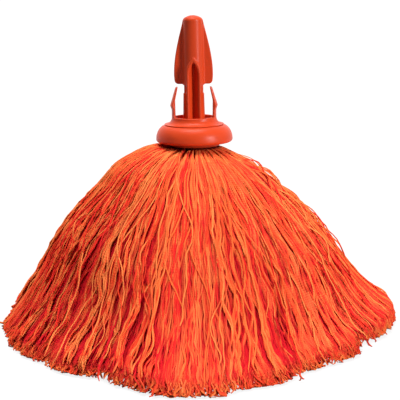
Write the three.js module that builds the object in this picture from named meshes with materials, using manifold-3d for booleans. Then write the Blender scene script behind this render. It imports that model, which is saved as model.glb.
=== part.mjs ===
// A round string mop head, standing on its splayed yarns with its handle spike upwards.
// Millimetres, +Z up. The origin is on the floor under the middle of the skirt, and one of
// the spike's two guide channels faces -Y. A domed collar carries the spike, which has a
// snap arm on each side; under the collar the folded yarns are clamped round a toothed plug
// by one screw.
import * as THREE from "three";
import { mergeVertices } from "three/addons/utils/BufferGeometryUtils.js";
import Module from "manifold-3d";

const wasm = await Module();
wasm.setup();

// Clearances
const seatGap = 0.3; // between pieces that rest on each other or fit together
const cutOverrun = 1; // how far a cutting tool runs past the face that it opens

// Collar: a domed cap with an inner sleeve for the yarns
const collarBaseZ = 169.2; // height of its lower edge over the floor
const collarDepth = 15.8; // lower edge to the seat of the spike
const collarRadius = 34.9;
const collarWall = 2.8;
const collarRoof = 3;
const collarShoulder = 10.3; // how far the dome's round shoulder reaches inwards
const collarRimHeight = 2.7; // from the lower edge to the widest line
const collarRound = 2.4; // how far the rounded lower edge turns inwards
const sleeveBore = 21;
const sleeveWall = 2.2;
const sleeveEdge = 0.6;
const sleeveDrop = 3.4; // how far the sleeve shows below the collar's lower edge
const ribCount = 8;
const ribThickness = 1.6;
const ribRecess = 5; // ribs stop this far above the lower edge

// Spike foot, neck and cup
const footRadius = 27;
const footEdge = 0.4; // thickness of the foot's thin edge
const flareHeight = 5.6; // of the neck's hollow flare over that edge
const neckRadius = 20.4;
const neckHeight = 7; // collar seat to the rim that the handle's socket meets
const neckWall = 2.4;
const cupFloorThickness = 2.1;
const rimEdge = 0.5;
const spigotRadius = 14;
const spigotLength = 10;
const keyWidth = 5; // two keys stop the spike from turning in the collar
const keyReach = 2.2;

// Spike column, from the cup's floor to the tip
const spikeRise = 91; // rim to tip
const columnFootRadius = 10;
const columnTopRadius = 9.45;
const columnRise = 21.7; // rim to the small step
const waistRadius = 8.75;
const bodyRadius = 9.7; // column between the fins, at their lower end
const bodyDrop = 1; // fins' lower edge down to where the waist starts to widen
const tipRadius = 8.7;
const tipDome = 3;
const tipEdge = 0.7;

// Fins, left and right of the column
const finReach = 17.6; // axis to the widest point
const finBottomRise = 29.6; // rim to the flat lower edge
const finWidestRise = 39;
const finThickness = 3.4;
const finCorner = 3;
const finUndercut = 0.9; // how far the outline draws in below its widest point
const finEdge = 0.6;
const finShoulder = 1.8; // how far the outline still stands out at two thirds of its taper
const finFade = 0.6; // how far inside the column the outline ends

// Guide channels, front and back, each in a raised frame with a pointed arch
const frameHalfWidth = 6.4;
const frameFront = 10.2; // axis to the frame's face
const frameSpringRise = 38.5;
const frameApexRise = 53.8;
const frameEdge = 0.7;
const channelHalfWidth = 4.5;
const channelSpringRise = 36.5;
const channelApexRise = 49.4;
const channelSill = 0.6; // the channel's lower end over the cup's floor
const webThickness = 6.4; // left between the two channels
const archBulge = 0.6; // 0.5 gives straight flanks, more rounds them

// Snap arms: curved tongues that rise from the neck's rim
const armRise = 27;
const armRootThickness = 2;
const armTipThickness = 1.4;
const armRootHalfAngle = 25; // degrees round the neck
const armTipHalfAngle = 21.5;
const armInset = 0.1; // of its outer face from the neck's
const armLean = 3.7; // how far the tip leans in
const armBendRise = 14.5; // where the inner face starts to lean
const armTipRound = 0.4;
const barbRise = 10.5;
const barbReach = 1.2;
const barbCatch = 4; // height of the steep side that holds the socket
const barbLand = 0.5; // above it the outer face slopes in to the tip

// Yarn plug with its screw and washer
const plugTopRadius = 10.5;
const plugFootRadius = 13.7;
const plugLength = 12.6;
const toothCount = 3;
const toothDepth = 0.7;
const padThickness = 3.4; // folded yarn between the plug and the spigot
const screwRadius = 1.75;
const screwEngagement = 7.8; // in the spigot
const screwPoint = 0.5; // radius of its blunt end
const screwHeadRadius = 3.9;
const screwHeadHeight = 2.5;
const screwHeadEdge = 0.9;
const crossWidth = 1.1;
const crossLength = 4.4;
const crossDepth = 1.3;
const washerRadius = 4.8;
const washerThickness = 1;
const headRecess = 1.4; // how far the screw's head sits up inside the plug

// Yarn bundle: the dense throat below the sleeve, where the loose yarns begin
const throatLipRadius = 27.4;
const throatDepth = 9.6;
const throatBevel = 3;
const throatTopEdge = 2;
const rootInset = 1.7; // innermost roots to the plug
const rootSpread = 7.2; // innermost roots to the outermost
const rootHeight = 3; // innermost roots over the throat's lower face
const rootRise = 2.6; // outermost roots over the innermost

// Yarn skirt: the outer yarns arch out of the throat, hang to a knee and sprawl on the floor
const skirtSideRadius = 180;
const skirtFrontRadius = 188; // they sprawl a little further to the front and back
const shoulderReach = 86; // first pull on the arch, outwards
const shoulderDrop = 3.9; // of that pull, below the collar's lower edge
const sagReach = 122; // second pull, where the yarns turn down
const sagHeight = 84;
const kneeReach = 146;
const kneeHeight = 29;
const innerDrop = 62; // how far both pulls sink towards the middle of the bundle
const clumpCount = 14;
const clumpPull = 0.42; // 0 leaves the yarns even, near 1 they would touch
const sideWander = 0.04; // radians that they stray to one side on the way down
const tipRaggedness = 3;
const lockFill = 0.8; // a lock's width as a share of the room that it has
const lockRootThickness = 1;
const lockTipThickness = 4.2;
// From the outside in: share of the skirt's radius, locks all round, steps down to the knee
const yarnLayers = [
  { share: 1, count: 88, steps: 3 },
  { share: 0.86, count: 72, steps: 2 },
  { share: 0.7, count: 56, steps: 1 },
  { share: 0.53, count: 44, steps: 1 },
  { share: 0.35, count: 28, steps: 0 },
  { share: 0.16, count: 12, steps: 0 },
];

// Segments in a full turn
const fineTurn = 36;
const coarseTurn = 24;
const throatTurn = 16;

// Heights that follow from the sizes above
const seatZ = collarBaseZ + collarDepth;
const roofZ = seatZ - collarRoof;
const sleeveZ = collarBaseZ - sleeveDrop;
const rimZ = seatZ + neckHeight;
const footZ = seatZ + seatGap;
const cupFloorZ = footZ + cupFloorThickness;
const tipZ = rimZ + spikeRise;
const spigotZ = seatZ - spigotLength;
const padTopZ = spigotZ - seatGap;
const plugTopZ = padTopZ - padThickness - seatGap;
const plugFootZ = plugTopZ - plugLength;
const headZ = plugFootZ + headRecess;
const washerZ = headZ + screwHeadHeight + seatGap;
const recessTopZ = washerZ + washerThickness + seatGap;
const throatTopZ = sleeveZ - seatGap;
const throatFootZ = throatTopZ - throatDepth;

// A closed geometry as a solid that can be joined and cut
function solidOf(geometry) {
  const bare = geometry.clone();
  for (const name of Object.keys(bare.attributes)) {
    if (name !== "position") bare.deleteAttribute(name);
  }
  const merged = mergeVertices(bare, 1e-4);
  return new wasm.Manifold(
    new wasm.Mesh({
      numProp: 3,
      vertProperties: new Float32Array(merged.attributes.position.array),
      triVerts: new Uint32Array(merged.index.array),
    }),
  );
}

function geometryOf(solid) {
  const mesh = solid.getMesh();
  const geometry = new THREE.BufferGeometry();
  geometry.setAttribute("position", new THREE.BufferAttribute(mesh.vertProperties, 3));
  geometry.setIndex(new THREE.BufferAttribute(mesh.triVerts, 1));
  geometry.computeVertexNormals();
  return geometry;
}

// A solid of revolution round Z. The profile runs up its outside, as [radius, height] pairs.
function turned(profile, segments) {
  const points = profile.map(([radius, height]) => new THREE.Vector2(radius, height));
  return solidOf(new THREE.LatheGeometry(points, segments).rotateX(Math.PI / 2));
}

function block(minimum, maximum) {
  const low = new THREE.Vector3(...minimum);
  const high = new THREE.Vector3(...maximum);
  const size = high.clone().sub(low);
  const middle = high.clone().add(low).multiplyScalar(0.5);
  return solidOf(new THREE.BoxGeometry(size.x, size.y, size.z).translate(...middle));
}

function rod(radius, bottom, top, segments) {
  return turned([[0, bottom], [radius, bottom], [radius, top], [0, top]], segments);
}

// An outline drawn in X and Z, given depth along Y from nearY to farY, with chamfered edges.
function plate(shape, nearY, farY, edge, curveSegments) {
  const geometry = new THREE.ExtrudeGeometry(shape, {
    depth: farY - nearY - 2 * edge,
    curveSegments,
    bevelEnabled: edge > 0,
    bevelThickness: edge,
    bevelSize: edge,
    bevelOffset: -edge,
    bevelSegments: 1,
  });
  return solidOf(geometry.rotateX(Math.PI / 2).translate(0, farY - edge, 0));
}

// A closed skin from faces given as corner numbers
function skin(rings, faces) {
  const geometry = new THREE.BufferGeometry();
  geometry.setAttribute("position", new THREE.Float32BufferAttribute(rings.flat(2), 3));
  geometry.setIndex(faces);
  return solidOf(geometry);
}

// Corner numbers of the skin between successive rings, each with as many points
function sidesBetween(rings) {
  const count = rings[0].length;
  const faces = [];
  for (let ring = 0; ring + 1 < rings.length; ring++) {
    for (let point = 0; point < count; point++) {
      const near = ring * count + point;
      const next = ring * count + ((point + 1) % count);
      faces.push(near, next, next + count, near, next + count, near + count);
    }
  }
  return faces;
}

// Points of an elliptical arc from one angle to another, both in degrees
function arc(centreR, centreZ, radiusR, radiusZ, from, to, steps) {
  return Array.from({ length: steps + 1 }, (_, i) => {
    const angle = THREE.MathUtils.degToRad(from + ((to - from) * i) / steps);
    return [centreR + radiusR * Math.cos(angle), centreZ + radiusZ * Math.sin(angle)];
  });
}

// Foot, neck, cup and column of the spike, which are round
function spikeBody() {
  const flare = footRadius - neckRadius;
  const neckBore = neckRadius - neckWall;
  const bodyZ = rimZ + finBottomRise - bodyDrop;
  const stepZ = rimZ + columnRise;
  const domeZ = tipZ - tipDome;
  return turned(
    [
      [0, spigotZ],
      [spigotRadius, spigotZ],
      [spigotRadius, footZ],
      [footRadius, footZ],
      ...arc(footRadius, footZ + footEdge + flareHeight, flare, flareHeight, -90, -180, 6),
      [neckRadius, rimZ - rimEdge],
      [neckRadius - rimEdge, rimZ],
      [neckBore + rimEdge, rimZ],
      [neckBore, rimZ - rimEdge],
      [neckBore, cupFloorZ],
      [columnFootRadius, cupFloorZ],
      [columnTopRadius, stepZ],
      [waistRadius, stepZ + columnTopRadius - waistRadius],
      [waistRadius, bodyZ],
      [bodyRadius, bodyZ + bodyRadius - waistRadius],
      [tipRadius, domeZ - tipEdge],
      [tipRadius - tipEdge, domeZ],
      ...arc(0, domeZ, tipRadius - tipEdge, tipDome, 30, 90, 3).slice(0, -1),
      [0, tipZ],
    ],
    fineTurn,
  );
}

// Both fins as one outline: round lower corners, then a long taper up to the tip
function finOutline() {
  const bottom = rimZ + finBottomRise;
  const widest = rimZ + finWidestRise;
  const top = tipZ - tipDome - tipEdge;
  const foot = finReach - finUndercut;
  const fade = tipRadius - finFade;
  const third = (top - widest) / 3;
  const outline = new THREE.Shape();
  outline.moveTo(foot - finCorner, bottom);
  outline.quadraticCurveTo(foot, bottom, foot, bottom + finCorner);
  outline.quadraticCurveTo(finReach, widest - finCorner, finReach, widest);
  outline.bezierCurveTo(
    finReach, widest + third, tipRadius + finShoulder, top - third, fade, top,
  );
  outline.lineTo(-fade, top);
  outline.bezierCurveTo(
    -tipRadius - finShoulder, top - third, -finReach, widest + third, -finReach, widest,
  );
  outline.quadraticCurveTo(-finReach, widest - finCorner, -foot, bottom + finCorner);
  outline.quadraticCurveTo(-foot, bottom, finCorner - foot, bottom);
  outline.closePath();
  return outline;
}

// An upright opening or frame with a pointed arch, symmetric about the axis
function archOutline(halfWidth, bottom, spring, apex) {
  const bulge = THREE.MathUtils.lerp(spring, apex, archBulge);
  const outline = new THREE.Shape();
  outline.moveTo(-halfWidth, bottom);
  outline.lineTo(halfWidth, bottom);
  outline.lineTo(halfWidth, spring);
  outline.quadraticCurveTo(halfWidth, bulge, 0, apex);
  outline.quadraticCurveTo(-halfWidth, bulge, -halfWidth, spring);
  outline.closePath();
  return outline;
}

function handleSpike() {
  const frame = archOutline(
    frameHalfWidth, cupFloorZ - cutOverrun, rimZ + frameSpringRise, rimZ + frameApexRise,
  );
  const channel = archOutline(
    channelHalfWidth, cupFloorZ + channelSill, rimZ + channelSpringRise, rimZ + channelApexRise,
  );
  const web = webThickness / 2;
  const key = spigotRadius + keyReach;
  const keyTop = (footZ + cupFloorZ) / 2;
  const keys = block([-key, -keyWidth / 2, roofZ], [key, keyWidth / 2, keyTop]);
  const pilotTop = spigotZ + screwEngagement + seatGap;
  const pilot = rod(screwRadius + seatGap, spigotZ - cutOverrun, pilotTop, coarseTurn);
  return spikeBody()
    .add(plate(finOutline(), -finThickness / 2, finThickness / 2, finEdge, 6))
    .add(plate(frame, -frameFront, frameFront, frameEdge, 5))
    .add(keys)
    .subtract(plate(channel, -frameFront - cutOverrun, -web, 0, 5))
    .subtract(plate(channel, web, frameFront + cutOverrun, 0, 5))
    .subtract(pilot);
}

// A snap arm is a slice of a ring that narrows as it rises. Its outer face has a barb, from
// which it slopes in to the tip, and its inner face leans in after it. It stands on the rim,
// to the right (side 1) or the left (side -1).
function snapArm(side) {
  const across = 6;
  const straight = neckRadius - armInset;
  const tipOuter = straight - armLean;
  const slopeFoot = barbRise + barbLand;
  const outerAt = (rise) =>
    THREE.MathUtils.mapLinear(rise, slopeFoot, armRise, straight + barbReach, tipOuter);
  const innerAt = (rise) => {
    const leaning = Math.max(0, (rise - armBendRise) / (armRise - armBendRise));
    return THREE.MathUtils.lerp(straight - armRootThickness, tipOuter - armTipThickness, leaning);
  };
  const ringAt = (rise, outer) => {
    const along = (rise - seatGap) / (armRise - seatGap);
    const spread = THREE.MathUtils.lerp(armRootHalfAngle, armTipHalfAngle, along);
    const half = THREE.MathUtils.degToRad(spread);
    const edge = (radius, from, to) =>
      Array.from({ length: across + 1 }, (_, i) => {
        const angle = from + ((to - from) * i) / across;
        return [side * radius * Math.cos(angle), side * radius * Math.sin(angle), rimZ + rise];
      });
    return [...edge(outer, -half, half), ...edge(innerAt(rise), half, -half)];
  };
  const rings = [
    ringAt(seatGap, straight),
    ringAt(barbRise - barbCatch, straight),
    ringAt(barbRise, straight + barbReach),
    ringAt(slopeFoot, straight + barbReach),
    ringAt(armBendRise, outerAt(armBendRise)),
    ringAt(armRise - armTipRound, outerAt(armRise - armTipRound)),
    ringAt(armRise, tipOuter - armTipRound),
  ];
  const faces = sidesBetween(rings);
  const count = rings[0].length;
  const top = count * (rings.length - 1);
  for (let i = 0; i < across; i++) {
    const [outer, inner] = [i, count - 1 - i];
    faces.push(outer, inner, outer + 1, outer + 1, inner, inner - 1);
    faces.push(top + outer, top + outer + 1, top + inner);
    faces.push(top + outer + 1, top + inner - 1, top + inner);
  }
  return skin(rings, faces);
}

function collarDome() {
  const widestZ = collarBaseZ + collarRimHeight;
  const shoulderR = collarRadius - collarShoulder;
  const inner = collarRadius - collarWall;
  const hole = spigotRadius + seatGap;
  const sleeveOuter = sleeveBore + sleeveWall;
  const middle = collarWall / 2;
  const shell = turned(
    [
      [inner, collarBaseZ],
      ...arc(collarRadius - collarRound, widestZ, collarRound, collarRimHeight, -90, 0, 4),
      ...arc(shoulderR, widestZ, collarShoulder, seatZ - widestZ, 0, 90, 8).slice(1),
      [hole, seatZ],
      [hole, roofZ],
      [sleeveBore, roofZ],
      [sleeveBore, sleeveZ + sleeveEdge],
      [sleeveBore + sleeveEdge, sleeveZ],
      [sleeveOuter - sleeveEdge, sleeveZ],
      [sleeveOuter, sleeveZ + sleeveEdge],
      [sleeveOuter, roofZ],
      ...arc(sleeveOuter, widestZ, inner - sleeveOuter, roofZ - widestZ, 75, 0, 5),
      [inner, collarBaseZ],
    ],
    fineTurn,
  );
  // Radial ribs between the sleeve and the dome, which end inside both walls
  const ribZ = collarBaseZ + ribRecess;
  const ribReach = turned(
    [
      [0, collarBaseZ],
      [collarRadius - middle, collarBaseZ],
      ...arc(
        shoulderR, widestZ, collarShoulder - middle, seatZ - widestZ - middle, 0, 90, 8,
      ),
      [0, seatZ - middle],
    ],
    fineTurn,
  );
  const radial = block(
    [sleeveBore + sleeveWall / 2, -ribThickness / 2, ribZ],
    [collarRadius, ribThickness / 2, seatZ],
  );
  const ribs = Array.from({ length: ribCount }, (_, i) =>
    radial.rotate([0, 0, (360 * (i + 0.5)) / ribCount]).intersect(ribReach),
  );
  const key = spigotRadius + keyReach + seatGap;
  const slot = keyWidth / 2 + seatGap;
  const keySlots = block([-key, -slot, roofZ - cutOverrun], [key, slot, seatZ + cutOverrun]);
  return ribs.reduce((solid, rib) => solid.add(rib), shell).subtract(keySlots);
}

// The plug is a cone with rings of teeth that point down and hold the folded yarns.
function yarnPlug() {
  const radiusAt = (share) => THREE.MathUtils.lerp(plugFootRadius, plugTopRadius, share);
  const teeth = Array.from({ length: toothCount }, (_, i) => {
    const top = (i + 1) / toothCount;
    const cut = top < 1 ? toothDepth : 0;
    return [
      [radiusAt(i / toothCount), plugFootZ + (i / toothCount) * plugLength],
      [radiusAt(top) - cut, plugFootZ + top * plugLength],
    ];
  }).flat();
  const recess = washerRadius + seatGap;
  const bore = screwRadius + seatGap;
  return turned(
    [
      [recess, plugFootZ],
      ...teeth,
      [bore, plugTopZ],
      [bore, recessTopZ],
      [recess, recessTopZ],
      [recess, plugFootZ],
    ],
    fineTurn,
  );
}

function clampWasher() {
  const bore = screwRadius + seatGap;
  const top = washerZ + washerThickness;
  return turned(
    [[bore, washerZ], [washerRadius, washerZ], [washerRadius, top], [bore, top], [bore, washerZ]],
    coarseTurn,
  );
}

function clampScrew() {
  const headTop = headZ + screwHeadHeight;
  const end = spigotZ + screwEngagement;
  const body = turned(
    [
      [0, headZ],
      [screwHeadRadius - screwHeadEdge, headZ],
      [screwHeadRadius, headZ + screwHeadEdge],
      [screwHeadRadius, headTop],
      [screwRadius, headTop],
      [screwRadius, end - screwRadius],
      [screwPoint, end],
      [0, end],
    ],
    coarseTurn,
  );
  const recessTop = headZ + crossDepth;
  const slot = (x, y) => block([-x, -y, headZ - cutOverrun], [x, y, recessTop]);
  return body
    .subtract(slot(crossLength / 2, crossWidth / 2))
    .subtract(slot(crossWidth / 2, crossLength / 2));
}

// The dense part of the bundle: folded over the plug, packed in the sleeve and flared into
// a lip below it. Its bores are widened so that their flats keep the clearance.
function yarnThroat() {
  const widened = (radius) => (radius + seatGap) / Math.cos(Math.PI / throatTurn);
  const outer = sleeveBore - seatGap;
  const top = roofZ - seatGap;
  const overSpigot = widened(spigotRadius);
  const bore = widened(screwRadius + seatGap);
  return turned(
    [
      [widened(plugFootRadius), throatFootZ],
      [throatLipRadius - throatBevel, throatFootZ],
      [throatLipRadius, throatTopZ - throatBevel],
      [outer, throatTopZ],
      [outer, top - throatTopEdge],
      [outer - throatTopEdge, top],
      [overSpigot, top],
      [overSpigot, padTopZ],
      [bore, padTopZ],
      [bore, plugTopZ + seatGap],
      [widened(plugTopRadius), plugTopZ + seatGap],
      [widened(plugFootRadius), plugFootZ],
      [widened(plugFootRadius), throatFootZ],
    ],
    throatTurn,
  );
}

// How far the outer yarns reach from the axis on the floor, in a given direction
function skirtReach(angle) {
  return THREE.MathUtils.lerp(skirtSideRadius, skirtFrontRadius, Math.sin(angle) ** 2);
}

// The path of a yarn from the throat to its knee, as radius and height
function yarnArch(share) {
  const rootR = plugFootRadius + rootInset + rootSpread * share;
  const rootZ = throatFootZ + rootHeight + rootRise * share;
  const sink = innerDrop * (1 - share);
  return new THREE.CubicBezierCurve(
    new THREE.Vector2(rootR, rootZ),
    new THREE.Vector2(
      THREE.MathUtils.lerp(rootR, shoulderReach, share ** 1.5),
      collarBaseZ - shoulderDrop - sink,
    ),
    new THREE.Vector2(sagReach * share, Math.max(kneeHeight, sagHeight - sink)),
    new THREE.Vector2(kneeReach * share, kneeHeight * share),
  );
}

// Where a yarn lies round the axis: yarns draw together into locks towards their tips.
// Nothing moves at the four planes where the quarters of the bundle meet.
function clumped(angle, along) {
  const pull = (clumpPull / clumpCount) * along ** 0.7;
  const wander = sideWander * Math.sin(5 * along);
  return angle + pull * Math.sin(clumpCount * angle) + wander * Math.sin(2 * angle);
}

// A lock of yarns is a three-sided tapering bar with its ridge outwards. Its last step runs
// from the knee to the floor, where it is cut flat.
function yarnLock(layer, angle) {
  const arch = yarnArch(layer.share);
  const pitch = (2 * Math.PI) / layer.count;
  const ragged = tipRaggedness * Math.cos(6 * angle) * Math.cos(9 * layer.share);
  const tip = new THREE.Vector2(skirtReach(angle) * layer.share + ragged * layer.share, 0);
  const rings = [];
  for (let step = 0; step <= layer.steps + 1; step++) {
    const along = step / (layer.steps + 1);
    const onFloor = step > layer.steps;
    const archShare = step / Math.max(1, layer.steps);
    const point = onFloor ? tip : arch.getPoint(archShare);
    const tangent = arch.getTangent(archShare);
    const from = clumped(angle - pitch / 2, along);
    const to = clumped(angle + pitch / 2, along);
    const centre = (from + to) / 2;
    const half = (lockFill * (to - from)) / 2;
    const depth = THREE.MathUtils.lerp(lockRootThickness, lockTipThickness, along);
    const [out, up] = onFloor ? [depth, 0] : [-tangent.y * depth, tangent.x * depth];
    const corner = (r, z, turn) => [r * Math.cos(turn), r * Math.sin(turn), z];
    rings.push([
      corner(point.x, point.y, centre - half),
      corner(point.x, point.y, centre + half),
      corner(point.x + out, point.y + up, centre),
    ]);
  }
  const end = 3 * (rings.length - 1);
  return skin(rings, [0, 2, 1, ...sidesBetween(rings), end, end + 1, end + 2]);
}

// A quarter of the bundle: its share of the throat, with every lock that grows from it.
function yarnQuarter(turn) {
  const far = skirtFrontRadius;
  const wedge = block([seatGap / 2, seatGap / 2, 0], [far, far, seatZ]);
  const throat = yarnThroat().intersect(wedge.rotate([0, 0, 90 * turn]));
  return yarnLayers.reduce((solid, layer) => {
    const each = layer.count / 4;
    for (let i = 0; i < each; i++) {
      const angle = (2 * Math.PI * (turn * each + i + 0.5)) / layer.count;
      solid = solid.add(yarnLock(layer, angle));
    }
    return solid;
  }, throat);
}

// Materials
const shellPlastic = new THREE.MeshStandardMaterial({
  color: new THREE.Color(0.87, 0.1, 0.035),
  roughness: 0.42,
  metalness: 0,
});
const plugPlastic = new THREE.MeshStandardMaterial({
  color: new THREE.Color(0.8, 0.09, 0.03),
  roughness: 0.6,
  metalness: 0,
});
const zincSteel = new THREE.MeshStandardMaterial({
  color: new THREE.Color(0.62, 0.63, 0.65),
  roughness: 0.35,
  metalness: 0.9,
});
const yarn = new THREE.MeshStandardMaterial({
  color: new THREE.Color(0.92, 0.16, 0.025),
  roughness: 0.9,
  metalness: 0,
});

// Assembly
const mopHead = new THREE.Group();

function addPiece(name, solid, material) {
  const mesh = new THREE.Mesh(geometryOf(solid), material);
  mesh.name = name;
  mopHead.add(mesh);
}

addPiece("handle_spike", handleSpike(), shellPlastic);
addPiece("snap_arm_left", snapArm(-1), shellPlastic);
addPiece("snap_arm_right", snapArm(1), shellPlastic);
addPiece("collar_dome", collarDome(), shellPlastic);
addPiece("yarn_plug", yarnPlug(), plugPlastic);
addPiece("clamp_washer", clampWasher(), zincSteel);
addPiece("clamp_screw", clampScrew(), zincSteel);
["yarn_back_right", "yarn_back_left", "yarn_front_left", "yarn_front_right"].forEach(
  (name, turn) => addPiece(name, yarnQuarter(turn), yarn),
);

export default mopHead;
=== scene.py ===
"""The looks of a round string mop head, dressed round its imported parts.

The moulded pieces are smooth surfaces of distance functions, and every yarn of the skirt is a
thin tube that follows its bundle from the sleeve to the floor. Sizes are in millimetres and are
turned into metres where a mesh is made. +Z is up and the photograph looks along +Y.
"""

import math

import bpy
import numpy as np
from mathutils import Matrix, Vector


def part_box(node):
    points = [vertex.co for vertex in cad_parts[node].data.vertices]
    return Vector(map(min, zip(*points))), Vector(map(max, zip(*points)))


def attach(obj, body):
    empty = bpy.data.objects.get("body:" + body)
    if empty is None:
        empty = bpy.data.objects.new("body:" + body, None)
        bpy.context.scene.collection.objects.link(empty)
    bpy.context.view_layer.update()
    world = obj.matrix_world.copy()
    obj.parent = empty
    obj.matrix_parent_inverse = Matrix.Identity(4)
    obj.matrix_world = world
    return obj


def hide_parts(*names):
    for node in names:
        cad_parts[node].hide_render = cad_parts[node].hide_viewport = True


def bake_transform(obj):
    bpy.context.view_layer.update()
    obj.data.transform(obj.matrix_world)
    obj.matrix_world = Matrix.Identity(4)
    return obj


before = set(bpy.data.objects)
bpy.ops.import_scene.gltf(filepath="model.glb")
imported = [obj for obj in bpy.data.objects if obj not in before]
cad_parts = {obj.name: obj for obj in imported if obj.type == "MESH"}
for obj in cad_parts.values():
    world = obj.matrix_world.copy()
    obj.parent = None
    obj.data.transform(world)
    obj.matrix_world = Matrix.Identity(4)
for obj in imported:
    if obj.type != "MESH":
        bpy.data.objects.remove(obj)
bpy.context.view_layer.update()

MM = 0.001
TURN = 2 * math.pi
TINY = 1e-9  # keeps a division by a length from failing

# Camera: a long lens, a little over a metre from the head's axis
CAMERA_DISTANCE = 1053
CAMERA_HEIGHT = 316
CAMERA_PITCH = 10.83  # degrees below level
CAMERA_YAW = 0.235  # degrees to the right of the axis
CAMERA_ROLL = -0.78
CAMERA_LENS = 104.7
SENSOR_WIDTH = 36

# Heights of the moulded pieces over the floor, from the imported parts
SPIKE_LOW, SPIKE_HIGH = (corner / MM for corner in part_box("handle_spike"))
COLLAR_LOW, COLLAR_HIGH = (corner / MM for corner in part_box("collar_dome"))
SEAT_Z = COLLAR_HIGH.z
TIP_Z = SPIKE_HIGH.z
RIM_Z = SEAT_Z + 7
SLEEVE_Z = COLLAR_LOW.z
COLLAR_BASE_Z = SLEEVE_Z + 3.4

# Spike
FOOT_RADIUS = 27
FOOT_UPRIGHT = 0.5  # height of the foot's upright edge
NECK_RADIUS = 20.4
FLARE_HEIGHT = 5.8
FLARE_SLOPE = 0.6  # true distance to the flare, against the level one
CUP_RADIUS = 18
CUP_FLOOR_Z = SEAT_Z + 2.4
SPIGOT_RADIUS = 14
SPIGOT_OVERLAP = 1  # how far the spigot runs up into the foot
STEP_Z = RIM_Z + 21.7
COLUMN_FOOT_RADIUS = 10
COLUMN_TOP_RADIUS = 9.45
WAIST_RADIUS = 8.75
BODY_RADIUS = 9.7
BODY_DROP = 0.8  # how far the body starts below the fins
TIP_RADIUS = 8.7
TIP_CROWN = 13  # radius of the domed top
FIN_BOTTOM_Z = RIM_Z + 29.6
FIN_WIDEST_Z = RIM_Z + 39
FIN_REACH = 17.6
FIN_UNDERCUT = 0.9
FIN_SHOULDER = 3.4  # how far outside the tip the fins' curve aims on its way up
FIN_TUCK = 0.9  # how far inside the tip's radius the curve ends
FIN_SAMPLES = 60
FIN_HALF_THICKNESS = 1.7
FRAME_HALF_WIDTH = 6.4
FRAME_FRONT = 10.2
FRAME_SPRING_Z = RIM_Z + 38.5
FRAME_APEX_Z = RIM_Z + 53.8
CHANNEL_HALF_WIDTH = 4.5
CHANNEL_FOOT_Z = CUP_FLOOR_Z + 0.6
CHANNEL_SPRING_Z = RIM_Z + 36.5
CHANNEL_APEX_Z = RIM_Z + 49.4
CHANNEL_FLOOR = 3.2  # half the web between the two channels
CHANNEL_HOLLOW = 0.8  # 1 for flat slanting walls, less for hollow ones
CHANNEL_OPENING = 1.05  # where the walls end, with the frame's front at 1
CHANNEL_SLOPE = 0.8  # true distance to the walls, against the level one

# How wide the spike's outer edges and its inner corners are rounded
COLUMN_EDGE = 1.4
WAIST_EDGE = 0.5
WAIST_CORNER = 0.5
BODY_EDGE = 1.2
BODY_CORNER = 1
CROWN_EDGE = 2
FIN_FOOT_EDGE = 3.6
FIN_SIDE_EDGE = 1.1
FIN_CORNER = 1.2
FRAME_EDGE = 1.2
FRAME_CORNER = 0.9
CHANNEL_EDGE = 1.1
CHANNEL_FLOOR_CORNER = 0.4
CHANNEL_FOOT_CORNER = 0.5
SEAT_EDGE = 0.4
RIM_EDGE = 0.9
CUP_EDGE = 0.8
CUP_CORNER = 0.8

# Snap arms
ARM_RISE = 27
ARM_SUNK = 2  # how deep the arm's root runs down inside the neck's wall
ARM_RADIUS = 20.3
ARM_ROOT_THICKNESS = 2
ARM_TIP_THICKNESS = 1.4
ARM_ROOT_HALF_ANGLE = 25
ARM_TIP_HALF_ANGLE = 21.5
ARM_LEAN = 3.7
ARM_BEND_RISE = 14.5  # where the inner face starts to lean
ARM_FACE_EDGE = 0.6
ARM_SIDE_EDGE = 0.9
ARM_TIP_EDGE = 1.2
BARB_RISE = 10.5
BARB_REACH = 1.35
BARB_CATCH = 4.5
BARB_CREST = 0.5  # how far above its height the catch reaches all the way out
BARB_EDGE = 0.5

# Collar
COLLAR_RADIUS = 34.9
COLLAR_WALL = 2.8
COLLAR_ROOF = 3
COLLAR_SHOULDER = 10.3
COLLAR_ROUND = 2.8  # how far the rounded lower edge turns inwards
COLLAR_LIP = 0.6  # how far the lower edge stands in from the wall's inner face
COLLAR_WIDEST_Z = COLLAR_BASE_Z + 2.7
SLEEVE_BORE = 21
SLEEVE_WALL = 2.2
SLEEVE_CHAMFER = 1  # where the sleeve meets the roof
SPIGOT_GAP = 0.3

# Meshes
SPIKE_CELL = 0.44
ARM_CELL = 0.25
COLLAR_STEPS = 160
MARGIN = 1  # room left round a piece when its surface is searched for


def smooth_union(a, b, fillet):
    share = np.clip(0.5 + 0.5 * (b - a) / fillet, 0, 1)
    return b + (a - b) * share - fillet * share * (1 - share)


def smooth_overlap(a, b, fillet):
    return -smooth_union(-a, -b, fillet)


def ease(value, start, end):
    share = np.clip((value - start) / (end - start), 0, 1)
    return share * share * (3 - 2 * share)


def between(limits, share):
    return limits[0] + (limits[1] - limits[0]) * share


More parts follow.
